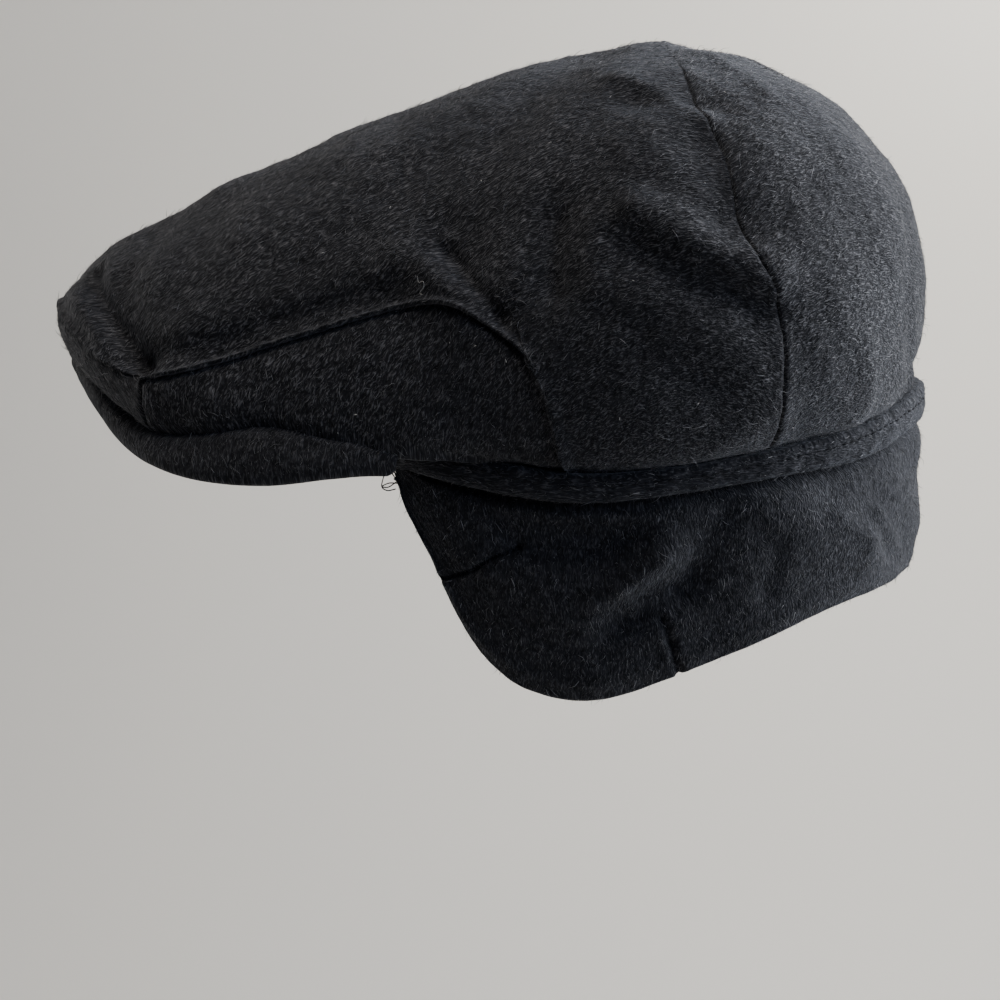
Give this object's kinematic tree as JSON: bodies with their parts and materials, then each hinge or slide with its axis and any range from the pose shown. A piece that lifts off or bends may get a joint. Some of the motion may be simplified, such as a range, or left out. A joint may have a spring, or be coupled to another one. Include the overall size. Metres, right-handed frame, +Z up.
{
  "type": "earflap newsboy cap",
  "caption": "Soft flat cap with a full crown drawn forward over a short peak, a rolled band round the head, and a flap over the ears and nape.",
  "frame": {"origin": "middle of the head opening, level with the band's lower edge at the ears", "axes": "+Z up along the head, -X to the peak, +X to the nape, -Y to the wearer's left ear"},
  "size_m": [0.2872, 0.191, 0.1968],
  "materials": {
    "crown_wool": "matte",
    "peak_wool": "matte",
    "band_wool": "matte",
    "flap_wool": "matte"
  },
  "bodies": {
    "root": {"top_panel": "crown_wool", "back_panel_left": "crown_wool", "back_panel_right": "crown_wool", "side_panel_left": "crown_wool", "side_panel_right": "crown_wool", "front_strip": "crown_wool", "peak": "peak_wool", "band": "band_wool", "flap": "flap_wool"}
  },
  "joints": []
}
